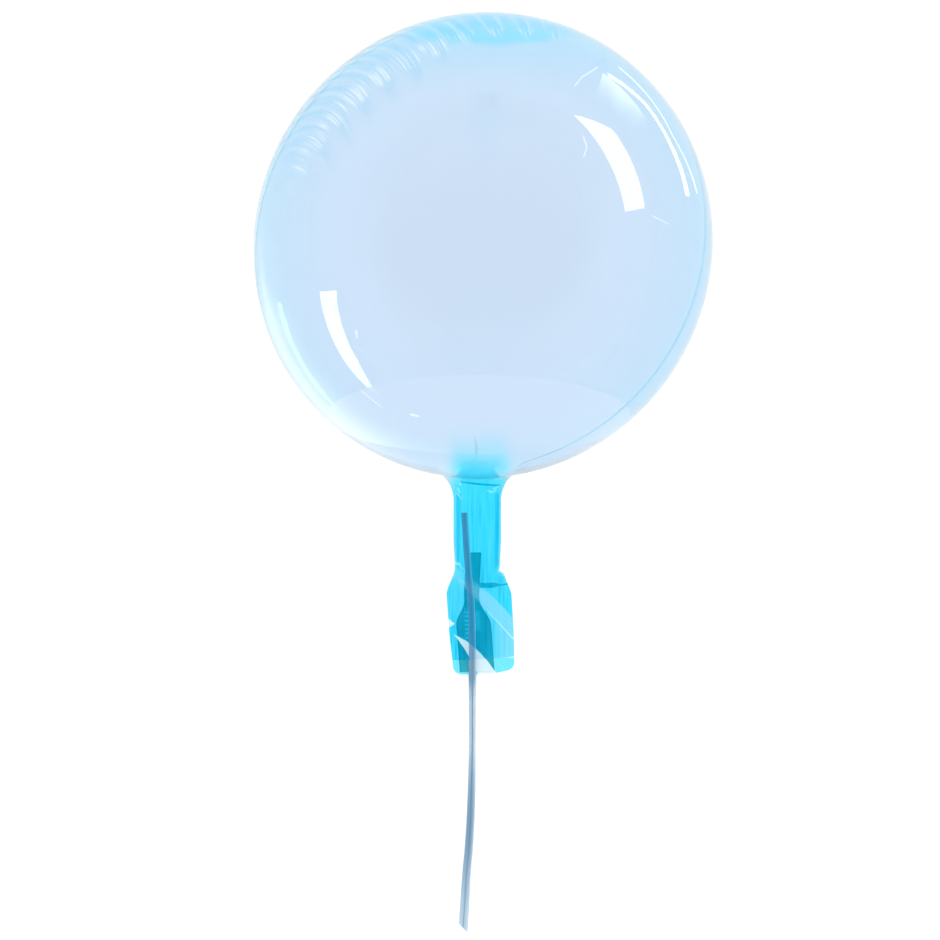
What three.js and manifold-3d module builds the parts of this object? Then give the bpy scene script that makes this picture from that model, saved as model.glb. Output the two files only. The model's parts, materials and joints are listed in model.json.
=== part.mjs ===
// Clear bubble balloon, blown up and lying loose on a level floor. Millimetres, +Z up.
// The origin is the middle of the small flat spot under the globe. The tail points to -Y and
// slopes down until its mouth touches the floor, where the ribbon runs out along the ground.
//
// The balloon is drawn first in its own bag frame, with the globe's centre at the origin, the tail
// along -Y, the flat tab's faces up and down, and "along" meaning the distance from the globe's
// centre towards the tail. One pose then lays it on the floor.
import * as THREE from 'three';
import { LoftGeometry } from 'three/addons/geometries/LoftGeometry.js';
import { mergeVertices } from 'three/addons/utils/BufferGeometryUtils.js';
import Module from 'manifold-3d';

// Globe: a hair longer than it is wide.
const GLOBE_RADIUS = 228.5;
const GLOBE_HALF_LENGTH = 231.5;
const SPOT_SAG = 2.2;
const GLOBE_STEPS = 38;
const CROWN_OPENING = 0.05; // radians between the crown's middle and the first ring

// Neck: a blown tube of less stretched film.
const NECK_RADIUS = 24.2;
const NECK_FILLET = 40;
const NECK_END = 336;
const NECK_SHIFT = -5.4;
const NECK_TAPER = 1;
const FILLET_STEPS = 6;

// Tab: the flat end of the film tube, open at the mouth and swung a little to one side.
const TAB_START = 358;
const TAB_HALF_WIDTH = 33.2;
const TAB_SKEW = 0.062;
const TAB_TAPER = 0.028;
const TAPER_START = 400;
const TAB_HALF_THICKNESS = 2.5;
const FLATTEN_STEPS = 8;
const FLATTEN_INSET = 0.25; // the flattened tube ends inside the tab's plate by this much
const MOUTH = 452;
const MOUTH_RISE = 5;
const MOUTH_CORNER = 9;
const CORNER_PULL = 1;
const UPPER_MOUTH = 433.5; // the upper sheet stops short of the lower one
const WELD_WIDTH = 3;
const POCKET_HALF_HEIGHT = 1.5;
const POCKET_END = 366;
const POCKET_OVERLAP = 8;
const CUT_PAST = 10; // how far a cutting shape runs past what it cuts

// Fill valve: a flat bottle of two thin films, between the tab's sheets.
const VALVE_TOP = 320;
const VALVE_BEND = 366;
const VALVE_BOTTOM = 449;
const VALVE_NECK_HALF = 7.8;
const VALVE_BODY_HALF = 17.9;
const SHOULDER_START = 371;
const SHOULDER_END = 398;
const VALVE_STEPS = 16;
const VALVE_LIFT = -0.7;
const VALVE_THICKNESS = 0.8;
const VALVE_TOP_X = -9.2;
const VALVE_BEND_X = -11.3;
const VALVE_BOTTOM_X = -5.5;

// Ribbon: threaded up between the films, and loose from the mouth on.
const RIBBON_WIDTH = 8;
const RIBBON_THICKNESS = 0.8;
const RIBBON_BEVEL = 0.2;
const RIBBON_STEPS = 48;
const RIBBON_TOP = [-18.5, 277];
const RIBBON_JOINS_VALVE = [-14, 346];
// Its middle line on the laid balloon: down the slope of the tail, over the lip and along the floor.
const RIBBON_ROUTE = [
  [-15.8, -237.9, 89.7],
  [-14.5, -256.2, 79.2],
  [-13.2, -274.4, 68.8],
  [-11.7, -292.6, 58.3],
  [-9.9, -310.8, 47.9],
  [-8.5, -329.0, 37.4],
  [-7.9, -347.2, 27.0],
  [-7.7, -365.5, 16.5],
  [-7.7, -381.1, 7.6],
  [-7.7, -387.4, 3.9],
  [-7.7, -391.4, 2.1],
  [-7.7, -395.9, 0.9],
  [-7.7, -400.3, 0.5],
  [-7.7, -420.5, 0.5],
  [-7.7, -456.9, 0.5],
  [-8.2, -493.2, 0.5],
  [-9.2, -529.2, 0.5],
  [-11.2, -565.1, 0.5],
  [-13.8, -595.8, 0.5],
  [-15.5, -624.3, 0.5],
  [-17.3, -651.6, 0.5],
];

const PLAY = 0.6;
const SIDES = 64;
const CURVE_SEGMENTS = 6;
const SOLVE_ROUNDS = 12;
const SAME_CORNER = 1e-4;

const wasm = await Module();
wasm.setup();

// A closed three.js geometry as a solid, with its shared corners merged.
function solid(geometry) {
  const bare = new THREE.BufferGeometry().copy(geometry);
  bare.deleteAttribute('normal');
  bare.deleteAttribute('uv');
  const merged = mergeVertices(bare, SAME_CORNER);
  const vertProperties = new Float32Array(merged.attributes.position.array);
  const triVerts = new Uint32Array(merged.index.array);
  return new wasm.Manifold(new wasm.Mesh({ numProp: 3, vertProperties, triVerts }));
}

function geometryOf(body) {
  const { vertProperties, triVerts } = body.getMesh();
  const geometry = new THREE.BufferGeometry();
  geometry.setAttribute('position', new THREE.BufferAttribute(vertProperties, 3));
  geometry.setIndex(new THREE.BufferAttribute(triVerts, 1));
  geometry.computeVertexNormals();
  return geometry;
}

// 0 before from, 1 after to, with a soft start and end between them.
function ease(value, from, to) {
  return THREE.MathUtils.smoothstep(value, from, to);
}

// Sideways place of the film tube's middle: the globe leans to the neck, the tab swings back.
function spine(along) {
  const lean = NECK_SHIFT * THREE.MathUtils.clamp(along / GLOBE_HALF_LENGTH, -1, 1);
  return lean + TAB_SKEW * Math.max(0, along - NECK_END);
}

// Half width of the flat tab at a place along it.
function tabHalfWidth(along) {
  return TAB_HALF_WIDTH - TAB_TAPER * Math.max(0, along - TAPER_START);
}

// One ring of the film tube: an ellipse of the given half width and half height.
function ring(along, halfWidth, halfHeight) {
  return Array.from({ length: SIDES }, (_, i) => {
    const angle = (i / SIDES) * 2 * Math.PI;
    const x = spine(along) + halfWidth * Math.cos(angle);
    return new THREE.Vector3(x, -along, halfHeight * Math.sin(angle));
  });
}

// Where the fillet leaves the globe: the polar angle there, the slope of the globe's outline and
// the middle of the fillet's arc, which touches the neck's wall and the globe.
function neckFillet() {
  let angle = 0.2;
  let slope = angle;
  for (let round = 0; round < SOLVE_ROUNDS; round += 1) {
    slope = Math.atan2(Math.sin(angle) / GLOBE_RADIUS, Math.cos(angle) / GLOBE_HALF_LENGTH);
    angle = Math.asin((NECK_RADIUS + NECK_FILLET * (1 - Math.sin(slope))) / GLOBE_RADIUS);
  }
  const middle = GLOBE_HALF_LENGTH * Math.cos(angle) + NECK_FILLET * Math.cos(slope);
  return { angle, slope, middle };
}

// Globe, fillet, round neck and the stretch where the tube goes flat, as one loft.
function blownRings() {
  const rings = [];
  const { angle: last, slope, middle } = neckFillet();
  const first = Math.PI - CROWN_OPENING;
  for (let i = 0; i <= GLOBE_STEPS; i += 1) {
    const angle = THREE.MathUtils.lerp(first, last, i / GLOBE_STEPS);
    const radius = GLOBE_RADIUS * Math.sin(angle);
    rings.push(ring(GLOBE_HALF_LENGTH * Math.cos(angle), radius, radius));
  }
  for (let i = 1; i <= FILLET_STEPS; i += 1) {
    const turn = THREE.MathUtils.lerp(slope, Math.PI / 2, i / FILLET_STEPS);
    const radius = NECK_RADIUS + NECK_FILLET * (1 - Math.sin(turn));
    rings.push(ring(middle - NECK_FILLET * Math.cos(turn), radius, radius));
  }
  const narrow = NECK_RADIUS - NECK_TAPER;
  for (let i = 0; i <= FLATTEN_STEPS; i += 1) {
    const along = THREE.MathUtils.lerp(NECK_END, POCKET_END + POCKET_OVERLAP, i / FLATTEN_STEPS);
    const flat = ease(along, NECK_END, POCKET_END);
    const wide = THREE.MathUtils.lerp(narrow, TAB_HALF_WIDTH - FLATTEN_INSET, flat);
    const high = THREE.MathUtils.lerp(narrow, TAB_HALF_THICKNESS - FLATTEN_INSET, flat);
    rings.push(ring(along, wide, high));
  }
  return rings;
}

// A flat plate of an outline drawn as (sideways, along), centred at a height of its own.
function plate(outline, thickness, lift) {
  const geometry = new THREE.ExtrudeGeometry(outline, {
    depth: thickness,
    bevelEnabled: false,
    curveSegments: CURVE_SEGMENTS,
  });
  geometry.translate(0, 0, lift - thickness / 2);
  return geometry;
}

// Outline of the tab: two straight tapering sides, rounded corners and a mouth that rises to +X.
function tabOutline() {
  const end = MOUTH - MOUTH_CORNER;
  const left = (along) => spine(along) - tabHalfWidth(along);
  const right = (along) => spine(along) + tabHalfWidth(along);
  const outline = new THREE.Shape();
  outline.moveTo(left(TAB_START), -TAB_START);
  outline.lineTo(left(TAPER_START), -TAPER_START);
  outline.lineTo(left(end), -end);
  outline.quadraticCurveTo(left(end) + CORNER_PULL, -MOUTH, left(end) + MOUTH_CORNER, -MOUTH);
  outline.lineTo(spine(MOUTH), -MOUTH);
  outline.lineTo(right(end) - MOUTH_CORNER / 2, -MOUTH + MOUTH_RISE);
  outline.quadraticCurveTo(
    right(end),
    -MOUTH + MOUTH_RISE + CORNER_PULL,
    right(end),
    -MOUTH + MOUTH_RISE + MOUTH_CORNER / 2,
  );
  outline.lineTo(right(TAPER_START), -TAPER_START);
  outline.lineTo(right(TAB_START), -TAB_START);
  outline.closePath();
  return outline;
}

// Middle line of the valve: straight up the neck, and turned with the tab below its bend.
function valveMiddle(along) {
  if (along < VALVE_BEND) {
    return THREE.MathUtils.mapLinear(along, VALVE_TOP, VALVE_BEND, VALVE_TOP_X, VALVE_BEND_X);
  }
  return THREE.MathUtils.mapLinear(along, VALVE_BEND, VALVE_BOTTOM, VALVE_BEND_X, VALVE_BOTTOM_X);
}

// Bottle profile: a narrow channel, soft shoulders and a straight body.
function valveHalfWidth(along) {
  const shoulder = ease(along, SHOULDER_START, SHOULDER_END);
  return THREE.MathUtils.lerp(VALVE_NECK_HALF, VALVE_BODY_HALF, shoulder);
}

// The valve's outline, or the same grown all round by play.
function valveOutline(play) {
  const left = [];
  const right = [];
  const from = VALVE_TOP - play;
  const to = VALVE_BOTTOM + play;
  for (let i = 0; i <= VALVE_STEPS; i += 1) {
    const along = THREE.MathUtils.lerp(from, to, i / VALVE_STEPS);
    const half = valveHalfWidth(along) + play;
    left.push(new THREE.Vector2(valveMiddle(along) - half, -along));
    right.unshift(new THREE.Vector2(valveMiddle(along) + half, -along));
  }
  return new THREE.Shape([...left, ...right]);
}

// A straight slot for the ribbon's upper end, a little wider than the ribbon.
function ribbonSlot() {
  const half = RIBBON_WIDTH / 2 + PLAY;
  const [topX, top] = RIBBON_TOP;
  const [joinX, join] = RIBBON_JOINS_VALVE;
  return new THREE.Shape([
    new THREE.Vector2(topX - half, -top + PLAY),
    new THREE.Vector2(joinX - half, -join),
    new THREE.Vector2(joinX + half, -join),
    new THREE.Vector2(topX + half, -top + PLAY),
  ]);
}

// The open space between the tab's sheets, with the narrow way up the neck for valve and ribbon.
// Past the upper sheet's end only the lower sheet is left.
function pocket() {
  const height = 2 * POCKET_HALF_HEIGHT;
  const past = MOUTH + CUT_PAST;
  const inner = (along, side) => spine(along) + side * (tabHalfWidth(along) - WELD_WIDTH);
  const tab = new THREE.Shape([
    new THREE.Vector2(inner(POCKET_END, -1), -POCKET_END),
    new THREE.Vector2(inner(past, -1), -past),
    new THREE.Vector2(inner(past, 1), -past),
    new THREE.Vector2(inner(POCKET_END, 1), -POCKET_END),
  ]);
  const half = TAB_HALF_WIDTH + CUT_PAST;
  const lip = new THREE.Shape([
    new THREE.Vector2(-half, -UPPER_MOUTH),
    new THREE.Vector2(-half, -past),
    new THREE.Vector2(half, -past),
    new THREE.Vector2(half, -UPPER_MOUTH),
  ]);
  const overLip = solid(plate(lip, height + CUT_PAST, CUT_PAST / 2));
  return [tab, valveOutline(PLAY), ribbonSlot()]
    .map((outline) => solid(plate(outline, height, 0)))
    .reduce((joined, next) => joined.add(next), overLip);
}

// How far the tilted globe reaches below its own centre.
function reachBelow(tilt) {
  return Math.hypot(GLOBE_RADIUS * Math.cos(tilt), GLOBE_HALF_LENGTH * Math.sin(tilt));
}

// The pose at rest: the globe stands on its spot, and the tail leans until its mouth meets the floor.
function restPose() {
  let tilt = Math.asin(GLOBE_RADIUS / MOUTH);
  for (let round = 0; round < SOLVE_ROUNDS; round += 1) {
    const height = reachBelow(tilt) - SPOT_SAG;
    tilt = Math.asin((height - TAB_HALF_THICKNESS * Math.cos(tilt)) / MOUTH);
  }
  const reach = reachBelow(tilt);
  const lowestAlong = (GLOBE_HALF_LENGTH ** 2 * Math.sin(tilt)) / reach;
  const lowestUp = (-(GLOBE_RADIUS ** 2) * Math.cos(tilt)) / reach;
  const lowest = new THREE.Vector3(spine(lowestAlong), -lowestAlong, lowestUp);
  const turned = new THREE.Matrix4().makeRotationX(tilt);
  lowest.applyMatrix4(turned);
  return turned.setPosition(-lowest.x, -lowest.y, reach - SPOT_SAG);
}

const pose = restPose();

function laid(geometry) {
  return geometry.applyMatrix4(pose);
}

function envelopeGeometry() {
  const blown = solid(laid(new LoftGeometry(blownRings(), { capStart: true, capEnd: true })));
  const tab = solid(laid(plate(tabOutline(), 2 * TAB_HALF_THICKNESS, 0)));
  const inside = solid(laid(geometryOf(pocket())));
  const ground = new THREE.BoxGeometry(4 * NECK_RADIUS, 4 * NECK_RADIUS, 2 * CUT_PAST);
  ground.translate(0, 0, -CUT_PAST);
  return geometryOf(blown.add(tab).subtract(inside).subtract(solid(ground)));
}

// A flat strip with eight sides, carried along the route.
function ribbonGeometry() {
  const wide = RIBBON_WIDTH / 2;
  const high = RIBBON_THICKNESS / 2;
  const section = new THREE.Shape([
    new THREE.Vector2(wide, -high + RIBBON_BEVEL),
    new THREE.Vector2(wide, high - RIBBON_BEVEL),
    new THREE.Vector2(wide - RIBBON_BEVEL, high),
    new THREE.Vector2(-wide + RIBBON_BEVEL, high),
    new THREE.Vector2(-wide, high - RIBBON_BEVEL),
    new THREE.Vector2(-wide, -high + RIBBON_BEVEL),
    new THREE.Vector2(-wide + RIBBON_BEVEL, -high),
    new THREE.Vector2(wide - RIBBON_BEVEL, -high),
  ]);
  const points = RIBBON_ROUTE.map((point) => new THREE.Vector3(...point));
  return new THREE.ExtrudeGeometry(section, {
    steps: RIBBON_STEPS,
    bevelEnabled: false,
    extrudePath: new THREE.CatmullRomCurve3(points),
  });
}

function piece(name, geometry, look) {
  const mesh = new THREE.Mesh(geometry, new THREE.MeshStandardMaterial(look));
  mesh.name = name;
  return mesh;
}

const balloon = new THREE.Group();
balloon.name = 'clear_bubble_balloon';
balloon.add(
  piece('envelope', envelopeGeometry(), {
    color: 0xbfe0f5, roughness: 0.06, metalness: 0, transparent: true, opacity: 0.35,
  }),
  piece('fill_valve', laid(plate(valveOutline(0), VALVE_THICKNESS, VALVE_LIFT)), {
    color: 0x0499b4, roughness: 0.3, metalness: 0,
  }),
  piece('ribbon', ribbonGeometry(), { color: 0x79a5c8, roughness: 0.35, metalness: 0 }),
);

export default balloon;
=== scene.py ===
# %% [markdown]
# # A clear bubble balloon, lying at rest
# The balloon is one bag of thin blue stretch film: a globe, a short neck and a flat tail tab. Inside the
# tab lie a flat film valve and the upper end of a ribbon. This lesson builds each of them as a surface
# worked out from a formula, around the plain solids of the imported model, which give all the places.

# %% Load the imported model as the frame
import json
import math

import bpy
import numpy as np
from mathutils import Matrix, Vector


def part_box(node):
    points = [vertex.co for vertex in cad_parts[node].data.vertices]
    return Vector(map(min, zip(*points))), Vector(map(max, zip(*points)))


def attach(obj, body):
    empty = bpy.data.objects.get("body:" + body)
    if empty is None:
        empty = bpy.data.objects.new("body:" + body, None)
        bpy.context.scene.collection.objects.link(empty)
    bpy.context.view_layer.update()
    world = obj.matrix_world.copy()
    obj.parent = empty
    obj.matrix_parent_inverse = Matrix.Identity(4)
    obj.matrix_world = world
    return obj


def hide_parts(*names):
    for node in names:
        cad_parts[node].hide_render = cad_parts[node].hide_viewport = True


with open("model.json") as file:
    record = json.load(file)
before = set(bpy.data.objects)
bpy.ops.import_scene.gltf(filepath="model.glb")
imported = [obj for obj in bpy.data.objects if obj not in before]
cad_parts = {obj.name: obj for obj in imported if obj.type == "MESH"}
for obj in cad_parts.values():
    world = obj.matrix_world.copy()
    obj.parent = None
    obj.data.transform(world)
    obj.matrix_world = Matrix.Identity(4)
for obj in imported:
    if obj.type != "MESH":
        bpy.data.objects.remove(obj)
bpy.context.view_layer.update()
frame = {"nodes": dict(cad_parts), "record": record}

MM = 0.001
print("nodes", sorted(frame["nodes"]))

# %% [markdown]
# The bag is drawn in a frame of its own: `along` runs from the globe's centre down the tail, `across` is
# sideways, and `up` is square to the flat tab. The mount on the tab's face gives the slope of the tail,
# and the envelope's box gives the globe's centre, so nothing has to be fitted by eye.

# %% The bag's own frame
GLOBE_RADIUS = 228.5 * MM
GLOBE_HALF_LENGTH = 231.5 * MM

tab_mount = next(m for m in frame["record"]["mounts"] if m["name"] == "tab_face")
UP = Vector(tab_mount["axis"]).normalized()
ACROSS = Vector((1, 0, 0))
ALONG = ACROSS.cross(UP)
TILT = math.atan2(-UP.y, UP.z)

low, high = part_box("envelope")
reach_back = math.hypot(GLOBE_RADIUS * math.sin(TILT), GLOBE_HALF_LENGTH * math.cos(TILT))
reach_high = math.hypot(GLOBE_RADIUS * math.cos(TILT), GLOBE_HALF_LENGTH * math.sin(TILT))
CENTRE = Vector(((low.x + high.x) / 2, high.y - reach_back, high.z - reach_high))
print("tilt", round(math.degrees(TILT), 2), "along", ALONG, "centre", CENTRE)


def placed(across, along, up):
    """Points of the bag frame as an array of places: the centre plus each distance times its direction."""
    axes = np.array([ACROSS, ALONG, UP])
    local = np.stack(np.broadcast_arrays(across, along, up), axis=-1)
    return local @ axes + np.array(CENTRE)


# %% [markdown]
# ## Camera
# A long lens well above the balloon looks down on it, nearly square to the tail, so that the globe, the
# neck, the tab and the ribbon on the floor show in one upright line.

# %% Camera
CAMERA_ELEVATION = math.radians(76.2)
CAMERA_DISTANCE = 3.51
AIM_RIGHT = -0.0129
AIM_UP = -0.223

to_camera = Vector((0, -math.cos(CAMERA_ELEVATION), math.sin(CAMERA_ELEVATION)))
camera_up = Vector((0, math.sin(CAMERA_ELEVATION), math.cos(CAMERA_ELEVATION)))
aim = CENTRE + AIM_RIGHT * ACROSS + AIM_UP * camera_up
camera_data = bpy.data.cameras.new("camera")
camera_data.lens = 135
camera_data.sensor_width = 36
camera = bpy.data.objects.new("camera", camera_data)
camera.location = aim + CAMERA_DISTANCE * to_camera
camera.rotation_mode = "QUATERNION"
camera.rotation_quaternion = (-to_camera).to_track_quat("-Z", "Y")
bpy.context.scene.collection.objects.link(camera)
bpy.context.scene.camera = camera
print("camera at", camera.location)

# %% [markdown]
# ## Helpers for surfaces
# Every piece is a grid of points with a wall, so two helpers do all the mesh work: one turns grids into
# faces, the other sets a point further in along the surface's normals.


# %% Grid helpers
def grid_faces(rows, columns, first=0, wrap=True, inward=False):
    """Four-cornered faces between neighbouring rows and columns of a grid numbered row by row."""
    row = np.arange(rows - 1)[:, None]
    column = np.arange(columns if wrap else columns - 1)[None, :]
    beside = (column + 1) % columns
    here = row * columns
    below = (row + 1) * columns
    corners = np.broadcast_arrays(here + column, here + beside, below + beside, below + column)
    faces = np.stack(corners, axis=-1).reshape(-1, 4) + first
    return faces[:, ::-1] if inward else faces


def fan(middle, ring, next_ring):
    """Triangles that close a ring of points on the point in its middle."""
    return np.stack([np.full(len(ring), middle), next_ring, ring], axis=-1)


def grid_normals(grid, wrap=True):
    """Unit normals of a grid: the cross product of its central differences along rows and columns."""
    if wrap:
        beside = np.roll(grid, -1, axis=1) - np.roll(grid, 1, axis=1)
    else:
        beside = np.gradient(grid, axis=1)
    down = np.gradient(grid, axis=0)
    normal = np.cross(beside, down)
    length = np.linalg.norm(normal, axis=-1, keepdims=True)
    return normal / np.maximum(length, 1e-12)


def make_piece(name, points, faces, material, smooth=True):
    """A mesh object at the origin from arrays of points and faces."""
    mesh = bpy.data.meshes.new(name)
    mesh.from_pydata(points.tolist(), [], [face for block in faces for face in block.tolist()])
    mesh.polygons.foreach_set("use_smooth", np.full(len(mesh.polygons), smooth))
    mesh.materials.append(material)
    mesh.update()
    piece = bpy.data.objects.new(name, mesh)
    bpy.context.scene.collection.objects.link(piece)
    print(name, len(mesh.vertices), "points", len(mesh.polygons), "faces")
    return piece


def step(value, start, end):
    """0 before start, 1 after end, and a soft s-curve between them."""
    t = np.clip((value - start) / (end - start), 0, 1)
    return t * t * (3 - 2 * t)


def bump(value, middle, width):
    """A bell curve of height 1 around middle, about width wide on each side."""
    return np.exp(-(((value - middle) / width) ** 2))


# %% [markdown]
# ## Shading by place
# The film is most stretched over the globe, where it is nearly clear, and least in the neck and at the
# crown, where the same dye looks deep cyan. Each point of the bag keeps its place in the bag frame and the
# depth of its dye as attributes, which the materials read, so that all films agree.


# %% Node helpers
def new_material(name):
    """An empty node material with a Principled shader wired to its output."""
    material = bpy.data.materials.new(name)
    material.use_nodes = True
    nodes = material.node_tree.nodes
    nodes.clear()
    output = nodes.new("ShaderNodeOutputMaterial")
    shader = nodes.new("ShaderNodeBsdfPrincipled")
    material.node_tree.links.new(shader.outputs["BSDF"], output.inputs["Surface"])
    return material, shader, output


def feed(tree, target, source):
    """Puts a value into an input socket: a link when the source is a socket, else a constant."""
    if isinstance(source, bpy.types.NodeSocket):
        tree.links.new(source, target)
    else:
        target.default_value = source


def maths(tree, operation, first, second=0.0, clamp=False):
    """One Math node with its two inputs fed."""
    node = tree.nodes.new("ShaderNodeMath")
    node.operation = operation
    node.use_clamp = clamp
    feed(tree, node.inputs[0], first)
    feed(tree, node.inputs[1], second)
    return node.outputs[0]


def ramp(tree, value, start, end):
    """0 up to start, 1 from end on, and a soft s-curve between them."""
    node = tree.nodes.new("ShaderNodeMapRange")
    node.interpolation_type = "SMOOTHSTEP"
    feed(tree, node.inputs["Value"], value)
    node.inputs["From Min"].default_value = start
    node.inputs["From Max"].default_value = end
    return node.outputs["Result"]


def product(tree, first, second):
    """first * second as one Math node."""
    return maths(tree, "MULTIPLY", first, second)


def largest(tree, first, second):
    """The larger of two values as one Math node."""
    return maths(tree, "MAXIMUM", first, second)


def blend_colour(tree, share, first, second, kind="MIX"):
    """One colour Mix node: first where share is 0, second where it is 1."""
    node = tree.nodes.new("ShaderNodeMix")
    node.data_type = "RGBA"
    node.blend_type = kind
    feed(tree, node.inputs["Factor"], share)
    feed(tree, node.inputs["A"], first)
    feed(tree, node.inputs["B"], second)
    return node.outputs["Result"]


def new_group(name, inputs, outputs):
    """A shader node group with named sockets, given as (name, socket kind) pairs."""
    tree = bpy.data.node_groups.new(name, "ShaderNodeTree")
    for label, kind in inputs:
        tree.interface.new_socket(label, in_out="INPUT", socket_type=kind)
    for label, kind in outputs:
        tree.interface.new_socket(label, in_out="OUTPUT", socket_type=kind)
    return tree, tree.nodes.new("NodeGroupInput"), tree.nodes.new("NodeGroupOutput")


def attribute(tree, name):
    """The named attribute of the piece, read as a vector."""
    node = tree.nodes.new("ShaderNodeAttribute")
    node.attribute_name = name
    return node.outputs["Vector"]


def three_parts(tree, vector):
    """The X, Y and Z outputs of a vector taken apart."""
    node = tree.nodes.new("ShaderNodeSeparateXYZ")
    tree.links.new(vector, node.inputs[0])
    return node.outputs


def noise(tree, place, scale=1.0):
    """Soft noise over a place, from 0 to 1."""
    node = tree.nodes.new("ShaderNodeTexNoise")
    node.inputs["Scale"].default_value = scale
    tree.links.new(place, node.inputs["Vector"])
    return node.outputs["Fac"]


def placed_group(tree, group_tree, **values):
    """A node group placed in a tree, with its inputs fed by name."""
    node = tree.nodes.new("ShaderNodeGroup")
    node.node_tree = group_tree
    for label, value in values.items():
        feed(tree, node.inputs[label.replace("_", " ").capitalize()], value)
    return node


# %% [markdown]
# ## The envelope's shape
# Two sheets of film are welded along their rims and blown up, so one grid can be the whole bag: its rows
# are rings round the tail's line, from the crown over the globe and down the neck, and its last rows go
# flat and end at the tab's open mouth. The radius follows an ellipse, then an arc that eases into the
# neck, then a straight tube whose height shrinks to the thin gap between the two sheets.

# %% Sizes of the bag
NECK_RADIUS = 24.2 * MM
NECK_FILLET = 40 * MM
NECK_END = 336 * MM
NECK_SHIFT = -5.4 * MM
TAB_FLAT = 366 * MM
TAB_HALF_WIDTH = 33.3 * MM
TAB_SKEW = 0.062
TAB_TAPER_START = 404 * MM
TAB_TAPER = 0.042
LOWER_MOUTH = 452 * MM
UPPER_MOUTH = 433.5 * MM
MOUTH_CORNER = 9 * MM
WELD_WIDTH = 3 * MM
WELD_HALF = 0.25 * MM
SHEET_GAP = 1.95 * MM
FILM = 0.16 * MM
SEAM_YAW = math.radians(11.5)

COLUMNS = 128
CROWN_ROWS = 188
LOWER_ROWS = 46
FILLET_ROWS = 12
NECK_ROWS = 34
TAB_ROWS = 62


# %% The bag's middle line and rings
def spine(along):
    """Sideways place of the bag's middle: it leans towards the neck, and the tab swings back."""
    lean = NECK_SHIFT * np.clip(along / GLOBE_HALF_LENGTH, -1, 1)
    return lean + TAB_SKEW * np.maximum(0, along - NECK_END)


def neck_fillet():
    """Polar angle where the arc leaves the globe, the outline's slope there, and the arc's middle."""
    angle = 0.2
    for _ in range(12):
        slope = math.atan2(math.sin(angle) / GLOBE_RADIUS, math.cos(angle) / GLOBE_HALF_LENGTH)
        angle = math.asin((NECK_RADIUS + NECK_FILLET * (1 - math.sin(slope))) / GLOBE_RADIUS)
    return angle, slope, GLOBE_HALF_LENGTH * math.cos(angle) + NECK_FILLET * math.cos(slope)


fillet_angle, fillet_slope, fillet_middle = neck_fillet()
polar = np.concatenate([
    np.linspace(math.pi - 0.008, math.pi / 2, CROWN_ROWS, endpoint=False),
    np.linspace(math.pi / 2, fillet_angle, LOWER_ROWS, endpoint=False),
])
turn = np.linspace(fillet_slope, math.pi / 2, FILLET_ROWS, endpoint=False)
globe_along = GLOBE_HALF_LENGTH * np.cos(polar)
globe_radius = GLOBE_RADIUS * np.sin(polar)
fillet_along = fillet_middle - NECK_FILLET * np.cos(turn)
fillet_radius = NECK_RADIUS + NECK_FILLET * (1 - np.sin(turn))
neck_along = np.linspace(fillet_middle, NECK_END, NECK_ROWS, endpoint=False)
neck_radius = NECK_RADIUS - 1.2 * MM * step(neck_along, 0.300, NECK_END)
blown_along = np.concatenate([globe_along, fillet_along, neck_along])
blown_radius = np.concatenate([globe_radius, fillet_radius, neck_radius])
print("blown rings", len(blown_along), "neck starts at", round(fillet_middle / MM, 1), "mm")

# %% The flat tab's outline
round_angle = np.linspace(0, 2 * math.pi, COLUMNS, endpoint=False)


def mouth_along(side, rise):
    """Where each column of the tab ends: the upper sheet stops short of the lower one, whose corners are
    round and whose edge rises towards +X."""
    across = side * TAB_HALF_WIDTH
    corner = np.clip((np.abs(across) - (TAB_HALF_WIDTH - MOUTH_CORNER)) / MOUTH_CORNER, 0, 1)
    rounded = MOUTH_CORNER * (1 - np.sqrt(1 - corner**2))
    lower = LOWER_MOUTH - rounded - 5.0 * MM * step(across, 2 * MM, TAB_HALF_WIDTH)
    upper = UPPER_MOUTH - 0.06 * across
    return np.minimum(lower, lower + (upper - lower) * step(rise, -0.06, 0.10))


def tab_half_width(along, side):
    """Half width of the tail from the neck's end on: a smooth flare on the left, a stepped shoulder on
    the right, then nearly parallel sides that draw in towards the mouth."""
    narrow = NECK_RADIUS - 1.2 * MM
    left = narrow + (TAB_HALF_WIDTH - narrow) * step(along, 0.3345, 0.366)
    shoulder = 0.42 * step(along, 0.3400, 0.3435) + 0.58 * step(along, 0.3415, 0.366)
    right = narrow + (TAB_HALF_WIDTH - narrow) * shoulder - 0.8 * MM * bump(along, 0.3395, 0.004)
    taper = TAB_TAPER * np.maximum(0, along - TAB_TAPER_START)
    return np.where(side < 0, left, right) - taper


def sheet_lift(inside):
    """Height of a sheet over the tab's middle: the weld's half thickness at the rim, and a gentle
    fourth-power pillow over the pocket."""
    return WELD_HALF + SHEET_GAP * np.sqrt(1 - np.clip(inside, 0, 1) ** 4)

# %% [markdown]
# ## Pleats, seam and walls
# The two round sheets are welded along a great circle that runs over the crown and down both sides. Where
# the weld holds the stretched film back, it gathers in short pleats square to the seam. The pleats ride on
# great-circle coordinates: one angle along the seam and one away from it.

# %% The seam's own coordinates
SEAM_TWIST_START = 238 * MM
SEAM_TWIST_END = 340 * MM
BEAD_HEIGHT = 0.35 * MM
BEAD_WIDTH = 3.2 * MM
PLEAT_HEIGHT = 0.38 * MM
PLEAT_SPACING = math.radians(4.4)
PLEAT_TURNS = 2 * math.pi / PLEAT_SPACING
PLEAT_DRIFT = 1.6
PLEAT_REACH = math.radians(33)
PLEAT_LEAN = 0.95
PLEAT_BEND = 1.55

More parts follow.
